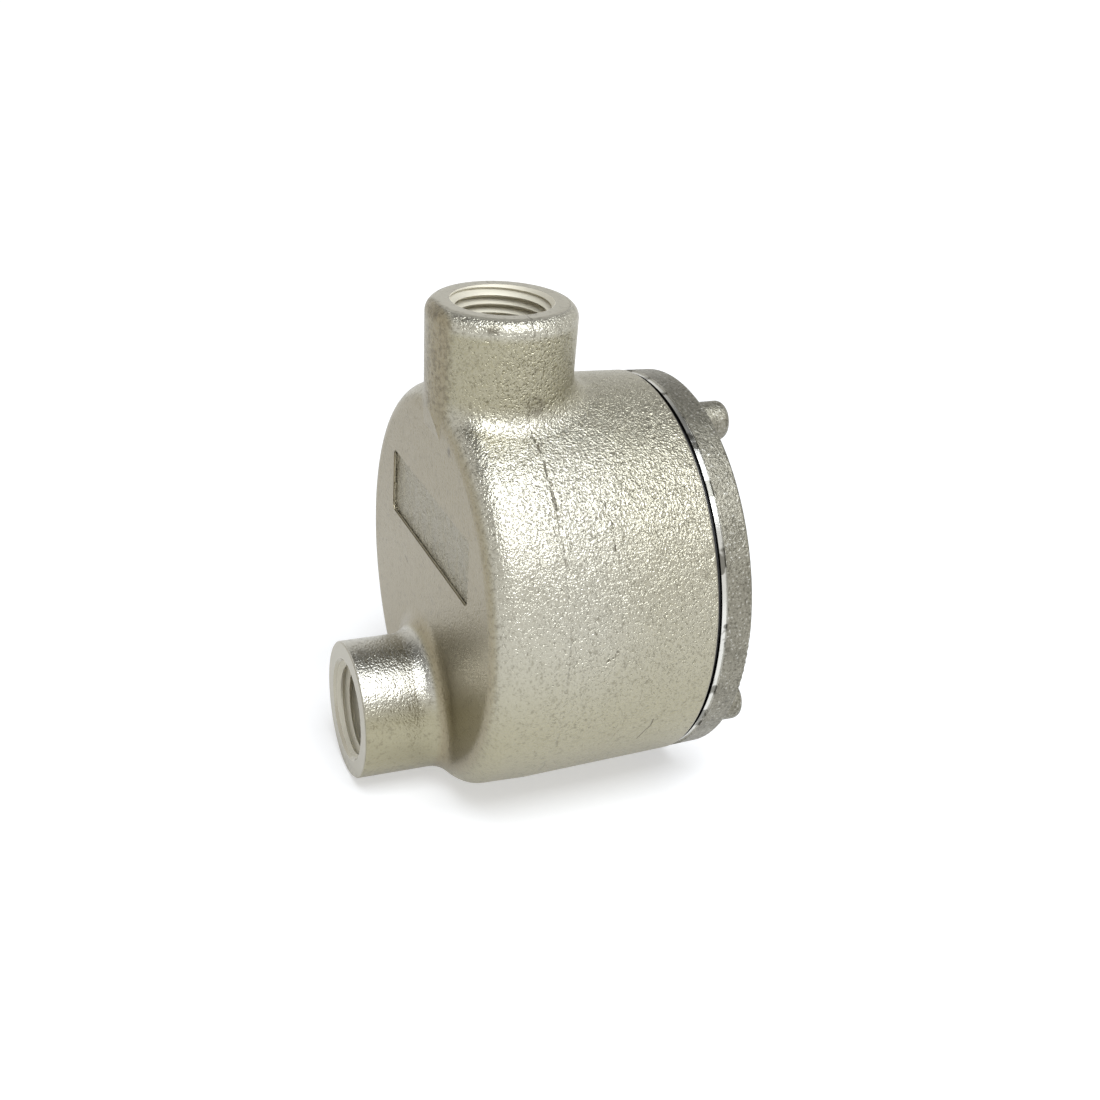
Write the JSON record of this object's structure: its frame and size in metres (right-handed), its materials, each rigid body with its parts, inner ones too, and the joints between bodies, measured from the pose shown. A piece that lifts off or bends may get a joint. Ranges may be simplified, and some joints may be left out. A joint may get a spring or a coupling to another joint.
{
  "type": "conduit body",
  "caption": "Round cast conduit outlet box with a threaded hub on top, a threaded hub at the back and a screwed, lugged and sealed cover.",
  "frame": {"origin": "centre of the top hub's mouth face", "axes": "+Z out of the top hub, +Y out of the rear hub, so the cover faces -Y; the drum's own axis is parallel to Y, 61.9 mm below the origin"},
  "size_m": [0.0868, 0.0806, 0.1053],
  "materials": {
    "plated_iron": "bright zinc plate with a warm cast over a rough as-cast skin; faced hub mouths",
    "cast_aluminium": "dull as-cast aluminium with a machined band beside the gap",
    "seal_rubber": "black rubber",
    "green_steel": "green-dyed zinc plate on steel"
  },
  "bodies": {
    "box": {"box_body": "plated_iron", "ground_screw": "green_steel"},
    "seal": {"cover_seal": "seal_rubber"},
    "cover": {"cover": "cast_aluminium"}
  },
  "joints": [
    {"name": "cover_travel", "type": "slide", "parent": "box", "child": "seal", "axis": [0, -1, 0], "range_m": [0, 0.01324]},
    {"name": "cover_turn", "type": "hinge", "parent": "seal", "child": "cover", "pos_m": [0, -0.0344, -0.0619], "axis": [0, -1, 0], "range_deg": [0, 2250]}
  ],
  "couplings": [
    {"joint": "cover_travel", "follows": "cover_turn", "m_per_rad": 0.00033688}
  ]
}
